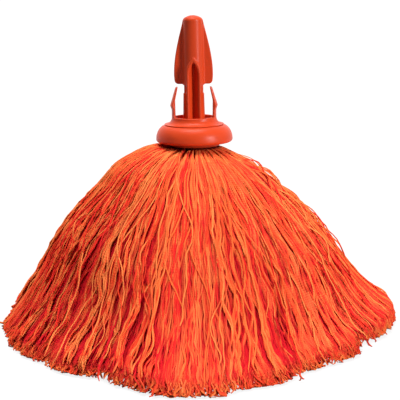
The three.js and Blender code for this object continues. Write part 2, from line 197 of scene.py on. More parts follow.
def surface_of(distance, low, high, cell):
    """Points and quads of the zero level of a distance function, one point to a mixed cell."""
    axes = [np.arange(a, b + cell, cell) for a, b in zip(low, high)]
    values = distance(*np.meshgrid(*axes, indexing="ij", sparse=True))
    inside = values < 0
    corners = [(i, j, k) for i in (0, 1) for j in (0, 1) for k in (0, 1)]
    shape = tuple(n - 1 for n in inside.shape)

    def shifted(array, corner):
        return array[tuple(slice(c, c + n) for c, n in zip(corner, shape))]

    filled = sum(shifted(inside, corner).astype(np.int8) for corner in corners)
    mixed = (filled > 0) & (filled < 8)
    numbers = np.full(shape, -1, np.int64)
    numbers[mixed] = np.arange(np.count_nonzero(mixed))
    cells = np.argwhere(mixed)
    total = np.zeros(cells.shape)
    crossings = np.zeros((len(cells), 1))
    for corner in corners:
        for axis in range(3):
            if corner[axis]:
                continue
            other = list(corner)
            other[axis] = 1
            near = shifted(values, corner)[mixed]
            far = shifted(values, other)[mixed]
            cut = (near < 0) != (far < 0)
            share = np.where(cut, near / np.where(cut, near - far, 1), 0)
            point = np.array(corner, float) + np.zeros(cells.shape)
            point[:, axis] += share
            total += point * cut[:, None]
            crossings += cut[:, None]
    points = np.array(low) + cell * (cells + total / crossings)
    points = settled(distance, points, cell)
    faces = []
    for axis in range(3):
        a, b = [(1, 2), (2, 0), (0, 1)][axis]
        step = np.eye(3, dtype=int)[axis]
        here = inside[tuple(slice(1, -1) for _ in range(3))]
        there = inside[tuple(slice(1 + s, n - 1 + s) for s, n in zip(step, inside.shape))]
        for sign in (True, False):
            at = np.argwhere((here != there) & (here == sign)) + 1
            ring = []
            for back_a, back_b in ((0, 0), (1, 0), (1, 1), (0, 1)):
                place = at.copy()
                place[:, a] -= back_a
                place[:, b] -= back_b
                ring.append(numbers[tuple(place.T)])
            quads = np.stack(ring, 1)
            faces.append(quads if sign else quads[:, ::-1])
    return points, np.concatenate(faces)


def settled(distance, points, cell):
    """The points, moved along the slope on to the surface itself."""
    probe = 0.05 * cell
    longest_move = 0.4 * cell
    least_slope = 0.5
    for _ in range(2):
        x, y, z = points.T
        here = distance(x, y, z)
        slope = np.stack(
            [
                distance(x + probe, y, z) - distance(x - probe, y, z),
                distance(x, y + probe, z) - distance(x, y - probe, z),
                distance(x, y, z + probe) - distance(x, y, z - probe),
            ],
            1,
        ) / (2 * probe)
        size = np.maximum((slope ** 2).sum(1, keepdims=True), least_slope ** 2)
        move = -here[:, None] * slope / size
        points = points + np.clip(move, -longest_move, longest_move)
    return points


def add_object(name, data):
    added = bpy.data.objects.new(name, data)
    bpy.context.scene.collection.objects.link(added)
    return added


def new_mesh(name, points, loops, starts):
    """A mesh from points in millimetres, and from its faces' corners and where each starts."""
    mesh = bpy.data.meshes.new(name)
    mesh.vertices.add(len(points))
    mesh.vertices.foreach_set("co", (points * MM).astype(np.float32).ravel())
    mesh.loops.add(len(loops))
    mesh.loops.foreach_set("vertex_index", loops.astype(np.int32))
    mesh.polygons.add(len(starts))
    mesh.polygons.foreach_set("loop_start", starts.astype(np.int32))
    mesh.update(calc_edges=True)
    return mesh


def mesh_object(name, points, faces, material):
    """A smooth-shaded object from points in millimetres and equal-sized faces."""
    mesh = new_mesh(name, points, faces.ravel(), np.arange(0, faces.size, faces.shape[1]))
    mesh.validate()
    mesh.shade_smooth()
    mesh.materials.append(material)
    return add_object(name, mesh)


def arch_half_width(z, half_width, spring, apex):
    """Half the width of a pointed arch's outline at a height, negative above its apex."""
    bulge = 0.6
    rise = (z - spring) / (apex - spring)
    inner = np.maximum(4 * bulge ** 2 - 4 * (2 * bulge - 1) * rise, 0)
    share = (2 * bulge - np.sqrt(inner)) / (2 * (2 * bulge - 1))
    arch = half_width * (1 - share ** 2)
    return np.where(rise <= 0, half_width, arch)


def fin_half_width(z):
    """Half the distance between the fins' outer edges at a height."""
    below = np.clip((FIN_WIDEST_Z - z) / (FIN_WIDEST_Z - FIN_BOTTOM_Z), 0, 1)
    share = np.linspace(0, 1, FIN_SAMPLES)
    third = (TIP_Z - FIN_WIDEST_Z) / 3
    shoulder, end = TIP_RADIUS + FIN_SHOULDER, TIP_RADIUS - FIN_TUCK
    widths = bezier(share, FIN_REACH, FIN_REACH, shoulder, end)
    rises = bezier(share, 0, third, 2 * third, 3 * third) + FIN_WIDEST_Z
    return np.interp(z, rises, widths) - FIN_UNDERCUT * below ** 2


def bezier(share, a, b, c, d):
    rest = 1 - share
    return a * rest ** 3 + 3 * b * rest ** 2 * share + 3 * c * rest * share ** 2 + d * share ** 3


def channel_distance(wide, deep, z):
    """The arched guide channels at the front and the back."""
    groove_width = arch_half_width(z, CHANNEL_HALF_WIDTH, CHANNEL_SPRING_Z, CHANNEL_APEX_Z)
    sunk = np.clip((deep - CHANNEL_FLOOR) / (FRAME_FRONT - CHANNEL_FLOOR), 0, CHANNEL_OPENING)
    walls = wide - groove_width * sunk ** CHANNEL_HOLLOW
    groove = CHANNEL_SLOPE * smooth_overlap(walls, CHANNEL_FLOOR - deep, CHANNEL_FLOOR_CORNER)
    return smooth_overlap(groove, CHANNEL_FOOT_Z - z, CHANNEL_FOOT_CORNER)


def neck_distance(radius, z):
    """The flared foot and the neck, with the cup that is sunk in them."""
    climb = np.clip((z - SEAT_Z - FOOT_UPRIGHT) / FLARE_HEIGHT, 0, 1)
    flare = (FOOT_RADIUS - NECK_RADIUS) * np.sqrt(1 - (1 - climb) ** 2)
    neck = smooth_overlap(FLARE_SLOPE * (radius - FOOT_RADIUS + flare), z - RIM_Z, RIM_EDGE)
    neck = smooth_overlap(neck, SEAT_Z - z, SEAT_EDGE)
    cup = smooth_overlap(radius - CUP_RADIUS, CUP_FLOOR_Z - z, CUP_CORNER)
    return smooth_overlap(neck, -cup, CUP_EDGE)


def spike_distance(x, y, z):
    radius = np.sqrt(x * x + y * y)
    wide, deep = np.abs(x), np.abs(y)
    foot_taper = (z - CUP_FLOOR_Z) / (STEP_Z - CUP_FLOOR_Z)
    foot_radius = between((COLUMN_FOOT_RADIUS, COLUMN_TOP_RADIUS), foot_taper)
    column = smooth_overlap(radius - foot_radius, z - STEP_Z, COLUMN_EDGE)
    waist = smooth_overlap(radius - WAIST_RADIUS, z - FIN_WIDEST_Z, WAIST_EDGE)
    body_taper = (z - FIN_BOTTOM_Z) / (TIP_Z - FIN_BOTTOM_Z)
    body = radius - between((BODY_RADIUS, TIP_RADIUS), body_taper)
    body = smooth_overlap(body, FIN_BOTTOM_Z - BODY_DROP - z, BODY_EDGE)
    fin = smooth_overlap(wide - fin_half_width(z), FIN_BOTTOM_Z - z, FIN_FOOT_EDGE)
    fin = smooth_overlap(fin, deep - FIN_HALF_THICKNESS, FIN_SIDE_EDGE)
    body = smooth_union(body, fin, FIN_CORNER)
    crown = z - TIP_Z + radius * radius / (2 * TIP_CROWN)
    body = smooth_overlap(body, crown, CROWN_EDGE)
    solid = smooth_union(smooth_union(column, waist, WAIST_CORNER), body, BODY_CORNER)
    frame_width = arch_half_width(z, FRAME_HALF_WIDTH, FRAME_SPRING_Z, FRAME_APEX_Z)
    raised = smooth_overlap(wide - frame_width, deep - FRAME_FRONT, FRAME_EDGE)
    solid = smooth_union(solid, raised, FRAME_CORNER)
    solid = smooth_overlap(solid, -channel_distance(wide, deep, z), CHANNEL_EDGE)
    solid = smooth_overlap(solid, SEAT_Z - z, SEAT_EDGE)
    solid = smooth_union(solid, neck_distance(radius, z), CUP_CORNER)
    spigot = np.maximum(radius - SPIGOT_RADIUS, SPIKE_LOW.z - z)
    spigot = np.maximum(spigot, z - SEAT_Z - SPIGOT_OVERLAP)
    return np.minimum(solid, spigot)


def arm_distance(side):
    """The distance function of the snap arm on the right (side 1) or the left (side -1)."""
    slope = (BARB_REACH + ARM_LEAN) / (ARM_RISE - BARB_RISE)
    inward = ARM_LEAN + ARM_TIP_THICKNESS - ARM_ROOT_THICKNESS

    def distance(x, y, z):
        rise = z - RIM_Z
        share = np.clip(rise / ARM_RISE, 0, 1)
        catch = BARB_REACH * ease(rise, BARB_RISE - BARB_CATCH, BARB_RISE + BARB_CREST)
        ramp_radius = ARM_RADIUS + BARB_REACH - slope * (rise - BARB_RISE)
        outer_radius = smooth_union(ARM_RADIUS + catch, ramp_radius, BARB_EDGE)
        leaning = np.maximum(rise - ARM_BEND_RISE, 0) / (ARM_RISE - ARM_BEND_RISE)
        inner_radius = ARM_RADIUS - ARM_ROOT_THICKNESS - inward * leaning
        half = np.radians(between((ARM_ROOT_HALF_ANGLE, ARM_TIP_HALF_ANGLE), share))
        radius = np.sqrt(x * x + y * y)
        aside = radius * (np.abs(np.arctan2(y, side * x)) - half)
        tongue = smooth_overlap(radius - outer_radius, inner_radius - radius, ARM_FACE_EDGE)
        tongue = smooth_overlap(tongue, aside, ARM_SIDE_EDGE)
        tongue = smooth_overlap(tongue, rise - ARM_RISE, ARM_TIP_EDGE)
        return np.maximum(tongue, -ARM_SUNK - rise)

    return distance


def lathe(name, profile, steps, material):
    """A closed surface of revolution from a closed loop of (radius, height) points."""
    profile = np.array(profile, float)
    count = len(profile)
    angles = TURN * np.arange(steps) / steps
    ring = np.stack([np.cos(angles), np.sin(angles)], 1)
    points = np.concatenate(
        [
            profile[None, :, :1] * ring[:, None, :],
            np.broadcast_to(profile[None, :, 1:], (steps, count, 1)),
        ],
        2,
    ).reshape(-1, 3)
    turn, point = np.meshgrid(np.arange(steps), np.arange(count), indexing="ij")
    next_turn = (turn + 1) % steps
    next_point = (point + 1) % count
    faces = np.stack(
        [
            turn * count + point,
            next_turn * count + point,
            next_turn * count + next_point,
            turn * count + next_point,
        ],
        -1,
    ).reshape(-1, 4)
    return mesh_object(name, points, faces, material)


def arc(centre_r, centre_z, radius_r, radius_z, start, end, steps):
    """Points along an ellipse, from one angle in degrees to another."""
    angles = np.radians(np.linspace(start, end, steps + 1))
    return [(centre_r + radius_r * math.cos(a), centre_z + radius_z * math.sin(a)) for a in angles]


def collar_profile():
    """The collar's section as a closed loop: lower edge, dome, hole, sleeve and inside."""
    shoulder = COLLAR_RADIUS - COLLAR_SHOULDER
    inner = COLLAR_RADIUS - COLLAR_WALL
    lip = COLLAR_RADIUS - COLLAR_ROUND
    lip_height = COLLAR_WIDEST_Z - COLLAR_BASE_Z
    sleeve_outer = SLEEVE_BORE + SLEEVE_WALL
    sleeve_lip = SLEEVE_WALL / 2
    roof_z = SEAT_Z - COLLAR_ROOF
    hole = SPIGOT_RADIUS + SPIGOT_GAP
    return [
        *arc(lip, COLLAR_WIDEST_Z, lip - inner + COLLAR_LIP, lip_height, 190, 270, 6),
        *arc(lip, COLLAR_WIDEST_Z, COLLAR_ROUND, lip_height, -90, 0, 14)[1:],
        *arc(shoulder, COLLAR_WIDEST_Z, COLLAR_SHOULDER, SEAT_Z - COLLAR_WIDEST_Z, 0, 90, 36)[1:],
        (hole, SEAT_Z),
        (hole, roof_z),
        (SLEEVE_BORE, roof_z),
        *arc(SLEEVE_BORE + sleeve_lip, SLEEVE_Z + sleeve_lip, sleeve_lip, sleeve_lip, -180, 0, 8),
        (sleeve_outer, roof_z - SLEEVE_CHAMFER),
        *arc(
            sleeve_outer, COLLAR_WIDEST_Z, inner - sleeve_outer, roof_z - COLLAR_WIDEST_Z,
            80, 5, 16,
        ),
    ]


# Yarns
YARN_SEED = 7
# Layers from the outside in. Depth 1 is the skirt's outline and 0 its core, at the floor and,
# where the yarns are packed, under the collar. Length 1 reaches the floor. Gather is how far
# the yarns follow their bundles and loose how far they wander. Splay is how far they spread
# to the outline near the floor, and fray and puff are for the cut ends.
LAYERS = (
    {
        "name": "outer_yarns", "yarns": 2500, "radius": 0.56, "length": 0.95,
        "floor": (1.0, 0.99), "packed": (1.0, 0.9), "gather": 1.0, "loose": 1.0,
        "splay": 0.5, "fray": 1.0, "puff": 0.1, "steps": 62, "sides": 4, "pieces": 8,
    },
    {
        "name": "middle_yarns", "yarns": 1900, "radius": 0.6, "length": 0.97,
        "floor": (0.99, 0.975), "packed": (0.9, 0.79), "gather": 0.12, "loose": 0.3,
        "splay": 0.7, "fray": 1.5, "puff": 0.25, "steps": 56, "sides": 3, "pieces": 4,
    },
    {
        "name": "under_yarns", "yarns": 1700, "radius": 0.66, "length": 1.0,
        "floor": (0.975, 0.945), "packed": (0.79, 0.62), "gather": 0.1, "loose": 0.3,
        "splay": 0.9, "fray": 2.2, "puff": 0.5, "steps": 56, "sides": 3, "pieces": 4,
    },
    {
        "name": "inner_yarns", "yarns": 1700, "radius": 0.7, "length": 1.0,
        "floor": (0.942, 0.82), "packed": (0.6, 0.4), "gather": 0.12, "loose": 0.5,
        "splay": 0.85, "fray": 2.4, "puff": 0.6, "steps": 34, "sides": 3, "pieces": 3,
    },
    {
        "name": "core_yarns", "yarns": 900, "radius": 0.8, "length": 1.0,
        "floor": (0.82, 0.1), "packed": (0.4, 0.05), "gather": 0.2, "loose": 0.5,
        "splay": 0.1, "fray": 1.5, "puff": 0.4, "steps": 24, "sides": 3, "pieces": 1,
    },
)
# Neighbouring yarns hang together in bundles of three sizes. Pull is the least and the most
# share of their spread that they lose, sway and lift how far they wander as one.
BUNDLES = (
    {"count": 40, "pull": (0.05, 0.35), "sway": 3.6, "lift": 1.2, "tone": 0.08, "pitch": (90, 220)},
    {"count": 84, "pull": (0.3, 0.85), "sway": 2.4, "lift": 0.9, "tone": 0.13, "pitch": (60, 140)},
    {"count": 270, "pull": (0.1, 0.5), "sway": 1.6, "lift": 0.4, "tone": 0.15, "pitch": (30, 80)},
)
BUNDLE_WIDTHS = (0.45, 1.55)  # the narrowest and the widest, against the mean
ROOT_BUNDLES = 30
ROOT_PULL, ROOT_PULL_POWER = 0.85, 0.35  # a low power pulls most bundles nearly as far
# Waves of single yarns: their least size in mm, what they gain where they are free, and the
# shortest and the longest pitch
YARN_WAVES = {
    "sway": {"least": 0.25, "gain": 0.6, "pitch": (28, 75)},
    "ripple": {"least": 0.2, "gain": 0.2, "pitch": (12, 26)},
    "lift": {"least": 0.2, "gain": 0.5, "pitch": (14, 50)},
    "fray_aside": {"least": 0, "gain": 1.2, "pitch": (8, 22)},
    "fray_out": {"least": 0, "gain": 0.7, "pitch": (8, 22)},
    "swell": {"least": 0.15, "gain": 0, "pitch": (10, 40)},
}
# Where along a yarn each effect starts and where it is full
ZONES = {
    "join_at_root": (0.03, 0.06),
    "part_from_root": (0.075, 0.18),
    "leave_sleeve": (0.045, 0.08),
    "thicken": (0.03, 0.3),
    "wander": (0.06, 0.62),
    "gather": (0.12, 0.6),
    "part_at_hem": (0.86, 1),
    "unpack": (0.05, 0.5),
    "draw_in": (0.5, 1),
    "splay": (0.8, 0.99),
    "pile_up": (0.85, 1),
    "fray": (0.9, 1.0),
    "bend": (0.94, 1.02),
    "puff": (0.92, 0.97),
    "taper": (0.975, 1),
}
# Outer meridians of the skirt, as radius and height, from inside the sleeve to the cut tips
SKIRT_OUTLINES = {
    "right": [
        (19.8, 177), (20, 170), (20.6, 165.3), (25.5, 163), (33, 159.6), (53, 147.5), (75, 129),
        (94, 111), (123, 77.5), (148.5, 45), (168.5, 26), (185.5, 14.5), (187, 2),
    ],
    "left": [
        (19.8, 177), (20, 170), (20.6, 164.6), (26, 164.6), (37, 166.6), (53, 160.6), (72, 149),
        (86.5, 132), (115.5, 98), (137.5, 64), (155, 36.5), (172, 13), (181, 1),
    ],
    "front": [
        (19.8, 177), (20, 170), (20.2, 165), (24, 164.4), (34, 162), (64, 147.5), (84, 130),
        (102, 112), (128, 79), (153, 47), (182, 23), (200, 12), (208, 0),
    ],
    "back": [
        (19.8, 177), (20, 170), (20.6, 165), (25, 163.6), (35, 160.6), (64, 148.5), (84, 131),
        (102, 113), (128, 79), (151, 45), (171, 24), (187, 11), (192, 1),
    ],
}
CORE_OUTLINE = [
    (14.7, 177), (14.7, 170), (14.7, 164), (14.8, 160), (15, 157), (15, 145), (15, 130),
    (15, 110), (16, 80), (17, 50), (18, 28), (18, 12), (18, 2),
]
# How far the floor's edge draws in between the front and the sides, by degrees from the front
DRAWN_IN = [
    (-90, 1), (-72, 0.965), (-60, 0.97), (-48, 0.925), (-38, 0.94), (-28, 0.905), (-15, 0.96),
    (-6, 1.015), (4, 1.015), (11, 0.95), (20, 0.94), (26, 0.875), (37, 0.885), (48, 0.905),
    (59, 0.855), (70, 0.94), (90, 0.985),
]
SKIRT_LENGTH = 268
LONGEST = 1.04  # share of the outline's length at which every yarn has ended
ANGLE_SPREAD = 0.003
LENGTH_SPREAD = 0.012
# Uneven lengths of the bundles at the hem, and what the left and the right side add to them
HEM_SPREAD, HEM_SPREAD_LEFT, HEM_SPREAD_RIGHT = 0.011, 0.028, 0.02
HEM_PARTING = 0.6  # how far the bundles come apart at the hem
SHORT_SHARE, SHORT_BY = 0.03, 0.12  # how many yarns are short, and by how much
CLOSER_STEPS = 0.28  # how much closer a yarn's points lie at its ends
RIGHT_SMOOTHNESS = 0.7  # how much flatter the yarns lie on the right than on the left
YARN_TONE = 0.74  # how much of its tone a yarn has to itself
THICKNESS = (0.7, 1.3)  # the thinnest and the thickest, against the layer's radius
SLEEVE_THICKNESS = 0.5  # of a yarn that is squeezed in the sleeve
TIP_TAPER = 0.5
NAP = 0.49  # how far the fuzz turns a yarn's shading towards the skirt's own
FLYAWAY_SHARE = 0.05
FLYAWAY_DRIFT = (8, 30)
FLYAWAY_START = (0.08, 0.55)
FLYAWAY_SPAN = 0.35
FLYAWAY_LIFT = 1.6
LOOP_SHARE = 0.05
LOOP_START = (0.1, 0.6)
LOOP_SPAN = (0.12, 0.28)
LOOP_HEIGHT = (2, 7)
BEND_ASIDE, BEND_OUT = 1.6, 0.8
LEAST_RADIUS = 14  # nearer the axis a step aside turns a yarn no further than here
LEAST_STEP = 1e-6
FLOOR_GAP = 0.3
PILE_HEIGHT = 2.2  # how high above the floor the topmost ends lie
FLOOR_SOFTNESS = 1.2  # height over which a fall to the floor is eased
# Where a yarn's side and its two end caps lie in its strip of the bake's map
STRIP_START, STRIP_WIDTH = 0.1, 0.8
STRIP_TOP, STRIP_LENGTH = 0.015, 0.97
CAP_STRIP = (0.012, 0.012, 0.002)


def meridian_table(outline, samples=200):
    """A smooth curve through an outline's points, evenly spaced along its length."""
    keys = np.array(outline, float)
    ends = np.array([2 * keys[0] - keys[1], 2 * keys[-1] - keys[-2]])
    keys = np.concatenate([ends[:1], keys, ends[1:]])
    spans = len(keys) - 3
    share = np.linspace(0, spans, samples)
    span = np.minimum(share.astype(int), spans - 1)
    t = (share - span)[:, None]
    a, b, c, d = (keys[span + i] for i in range(4))
    curve = 0.5 * (
        2 * b
        + (c - a) * t
        + (2 * a - 5 * b + 4 * c - d) * t ** 2
        + (3 * b - a - 3 * c + d) * t ** 3
    )
    length = np.concatenate([[0], np.cumsum(np.linalg.norm(np.diff(curve, axis=0), axis=1))])
    even = np.linspace(0, length[-1], samples)
    return np.stack([np.interp(even, length, curve[:, i]) for i in range(2)], 1)


def along_table(table, share):
    samples = np.linspace(0, 1, len(table))
    return np.stack([np.interp(share, samples, table[:, i]) for i in range(2)], -1)


TABLES = {name: meridian_table(outline) for name, outline in SKIRT_OUTLINES.items()}
CORE_TABLE = meridian_table(CORE_OUTLINE)


def skirt_shells(angle, along):
    """The outline's and the core's radius and height at a share of the way down."""
    across, forward = np.cos(angle), np.sin(angle)
    weights = {
        "right": np.maximum(across, 0) ** 2,
        "left": np.maximum(-across, 0) ** 2,
        "front": np.maximum(-forward, 0) ** 2,
        "back": np.maximum(forward, 0) ** 2,
    }
    outer = sum(weights[name][..., None] * along_table(TABLES[name], along) for name in TABLES)
    from_front = np.degrees(np.arctan2(across, -forward))
    headings, shares = zip(*DRAWN_IN)
    inset = 1 + (np.interp(from_front, headings, shares) - 1) * ease(along, *ZONES["draw_in"])
    outer = outer * np.stack([inset, np.ones_like(inset)], -1)
    return outer, along_table(CORE_TABLE, along)


def draw_waves(rng, rows, shortest, longest, terms=3):
    return {
        "pitch": rng.uniform(shortest, longest, (rows, terms)),
        "phase": rng.uniform(0, TURN, (rows, terms)),
        "size": rng.uniform(0.5, 1, (rows, terms)),
    }


def wave(waves, rows, arc_length):
    """Smooth random waves along each yarn, within about -1 to 1."""
    total = np.zeros(arc_length.shape)
    for term in range(waves["pitch"].shape[1]):
        pitch = waves["pitch"][rows, term][:, None]
        phase = waves["phase"][rows, term][:, None]
        size = waves["size"][rows, term][:, None]
        total += size * np.sin(TURN * arc_length / pitch + phase)
    return total / waves["pitch"].shape[1] ** 0.5


def draw_bundles(rng, kind):
    """Neighbouring yarns that hang together: where they meet the next, and what they share."""
    total = kind["count"]
    widths = rng.uniform(*BUNDLE_WIDTHS, total)
    return {
        **kind,
        "edges": np.concatenate([[0], np.cumsum(widths) / widths.sum()]),
        "draw": rng.uniform(0, 1, total),
        "rise": rng.normal(0, 1, total),
        "shade": rng.uniform(0, 1, total),
        "aside": draw_waves(rng, total, *kind["pitch"]),
        "out": draw_waves(rng, total, *kind["pitch"]),
    }


def bundle_of(bundles, angle):
    """Each yarn's bundle, and its angle from the bundle's middle."""
    share = (angle / TURN) % 1
    edges = bundles["edges"]
    index = np.clip(np.searchsorted(edges, share, side="right") - 1, 0, len(edges) - 2)
    return index, (share - (edges[index] + edges[index + 1]) / 2) * TURN


def lay_yarns(rng, layer, roots, hems):
    """Centre lines of one layer's yarns in millimetres, with what their look depends on."""
    count = layer["yarns"]
    rows = np.arange(count)
    golden = (math.sqrt(5) - 1) / 2
    angle = TURN * ((rows * golden + rng.uniform()) % 1) + rng.normal(0, ANGLE_SPREAD, count)
    rank = rng.permutation(count) / count
    floor_depth = between(layer["floor"], rank)
    packed_depth = between(layer["packed"], rank)
    hem, _ = bundle_of(hems, angle)
    uneven = HEM_SPREAD + HEM_SPREAD_LEFT * np.maximum(-np.cos(angle), 0)
    uneven += HEM_SPREAD_RIGHT * np.maximum(np.cos(angle), 0)
    own_length = rng.normal(0, LENGTH_SPREAD, count)
    length = layer["length"] * (1 + own_length + uneven * hems["rise"][hem])
    length -= SHORT_BY * (rng.uniform(0, 1, count) < SHORT_SHARE)
    share = np.linspace(0, 1, layer["steps"])
    share = (share - CLOSER_STEPS * np.sin(TURN * share) / TURN)[None, :]
    along = np.minimum(share * length[:, None], LONGEST)
    arc_length = along * SKIRT_LENGTH
    grow = ease(along, *ZONES["wander"])
    loose = grow * layer["loose"]

    def own_waves(name, freedom):
        kind = YARN_WAVES[name]
        waves = draw_waves(rng, count, *kind["pitch"])
        return (kind["least"] + kind["gain"] * freedom) * wave(waves, rows, arc_length)

    # Yarns are drawn together where they leave the sleeve, and in bundles lower down
    root, root_offset = bundle_of(roots, angle)
    rooted = ease(along, *ZONES["join_at_root"]) * (1 - ease(along, *ZONES["part_from_root"]))
    root_pull = ROOT_PULL * roots["draw"][root] ** ROOT_PULL_POWER
    shift = -rooted * (root_pull * root_offset)[:, None]
    relief = (1 - RIGHT_SMOOTHNESS * (1 + np.cos(angle)) / 2)[:, None]
    parting = 1 - HEM_PARTING * ease(along, *ZONES["part_at_hem"])
    gather = layer["gather"] * relief * ease(along, *ZONES["gather"]) * parting
    sideways = own_waves("sway", grow) + own_waves("ripple", grow)
    outwards = own_waves("lift", loose) * relief
    tone = YARN_TONE * rng.uniform(0, 1, count)
    for kind in BUNDLES:
        bundles = draw_bundles(rng, kind)
        index, offset = bundle_of(bundles, angle)
        pull = between(bundles["pull"], bundles["draw"][index])
        shift = shift - gather * (pull * offset)[:, None]
        sideways += loose * bundles["sway"] * wave(bundles["aside"], index, arc_length)
        risen = bundles["rise"][index][:, None] + wave(bundles["out"], index, arc_length)
        outwards += loose * relief * bundles["lift"] * risen
        tone += bundles["tone"] * bundles["shade"][index]

    spread = ease(along, *ZONES["unpack"])
    shell = packed_depth[:, None] * (1 - spread) + floor_depth[:, None] * spread
    shell += (1 - shell) * layer["splay"] * ease(along, *ZONES["splay"])
    outer, core = skirt_shells(angle[:, None] + shift, np.clip(along, 0, 1))
    place = core + (outer - core) * shell[..., None]
    radius, height = place[..., 0], place[..., 1]

    flyaway = rng.uniform(0, 1, count) < FLYAWAY_SHARE * layer["loose"]
    drift = rng.uniform(*FLYAWAY_DRIFT, count) * rng.choice([-1, 1], count) * flyaway
    start = rng.uniform(*FLYAWAY_START, count)[:, None]
    sideways += drift[:, None] * ease(along, start, start + FLYAWAY_SPAN)
    outwards += FLYAWAY_LIFT * flyaway[:, None] * grow
    # Some yarns hang in slack loops off the surface, most of them on the right
    looped = rng.uniform(0, 1, count) < LOOP_SHARE * (1 + np.cos(angle)) * (layer is LAYERS[0])
    start = rng.uniform(*LOOP_START, count)[:, None]
    loop = np.clip((along - start) / rng.uniform(*LOOP_SPAN, count)[:, None], 0, 1)
    loop_height = looped * rng.uniform(*LOOP_HEIGHT, count)
    outwards += loop_height[:, None] * np.sin(math.pi * loop) ** 2
    # The cut ends fray and point all ways
    frayed = ease(along, *ZONES["fray"]) * layer["fray"]
    bent = ease(along, *ZONES["bend"]) * layer["fray"]
    sideways += own_waves("fray_aside", frayed)
    outwards += own_waves("fray_out", frayed)
    sideways += BEND_ASIDE * bent * rng.normal(0, 1, count)[:, None]
    outwards += BEND_OUT * bent * rng.normal(0, 1, count)[:, None]

    slope_r = np.gradient(radius, axis=1)
    slope_z = np.gradient(height, axis=1)
    size = np.maximum(np.hypot(slope_r, slope_z), LEAST_STEP)
    normal = np.stack([-slope_z / size, slope_r / size], -1)
    free = ease(along, *ZONES["leave_sleeve"])
    radius = radius + free * outwards * normal[..., 0]
    height = height + free * outwards * normal[..., 1]
    turned = angle[:, None] + shift + free * sideways / np.maximum(radius, LEAST_RADIUS)

    thickness = layer["radius"] * rng.uniform(*THICKNESS, count)[:, None]
    swell = 1 + own_waves("swell", 0)
    squeeze = SLEEVE_THICKNESS + (1 - SLEEVE_THICKNESS) * ease(along, *ZONES["thicken"])
    puff = 1 + layer["puff"] * ease(share, *ZONES["puff"])
    taper = 1 - TIP_TAPER * ease(share, *ZONES["taper"])
    girth = thickness * swell * squeeze * (puff * taper)
    pile = rng.uniform(0, PILE_HEIGHT, count)[:, None] * ease(along, *ZONES["pile_up"])
    floor = girth + FLOOR_GAP + pile
    height = floor + np.logaddexp(0, (height - floor) / FLOOR_SOFTNESS) * FLOOR_SOFTNESS
    look = {
        "tone": tone,
        "sunk": (1 - shell) * ((outer - core) * normal).sum(-1) - outwards,
        "turned": turned,
        "along": along,
        "arc": arc_length,
        "facing": np.stack(
            [normal[..., 0] * np.cos(turned), normal[..., 0] * np.sin(turned), normal[..., 1]], -1
        ),
    }
    points = np.stack([radius * np.cos(turned), radius * np.sin(turned), height], -1)
    return points, girth, look


def find_cover(layers):
    """How far each point of a yarn lies below the skirt's surface about it."""
    turns, levels = 640, 72  # cells round the skirt and along the yarns
    reach, root_reach = 4, 9  # cells on each side that the surface is evened out over
    root_levels = 12
    empty = 40.0  # depth of a cell without a yarn
    surface = np.full((turns, levels), empty)

    def cell_of(look):
        column = np.floor((look["turned"] / TURN % 1) * turns).astype(int) % turns
        level = np.clip((look["along"] / LONGEST * levels).astype(int), 0, levels - 1)
        return column, level

    def spread_over(cells):
        shifted = [np.roll(surface, step, 0) for step in range(-cells, cells + 1)]
        return sum(shifted) / (2 * cells + 1)

    for _, _, look in layers:
        np.minimum.at(surface, cell_of(look), look["sunk"])
    wide = spread_over(reach)
    wide[:, :root_levels] = spread_over(root_reach)[:, :root_levels]
    for _, _, look in layers:
        look["cover"] = look["sunk"] - wide[cell_of(look)]


def unit(vectors):
    return vectors / np.maximum(np.linalg.norm(vectors, axis=-1, keepdims=True), TINY)


def tube_frames(points):
    """Two unit vectors across each path, which turn as little as the path does."""
    direction = unit(np.gradient(points, axis=1))
    aside = unit(np.stack([-points[..., 1], points[..., 0], np.zeros(points.shape[:2])], -1))
    aside = unit(aside - direction * (aside * direction).sum(2, keepdims=True))
    return aside, np.cross(direction, aside)


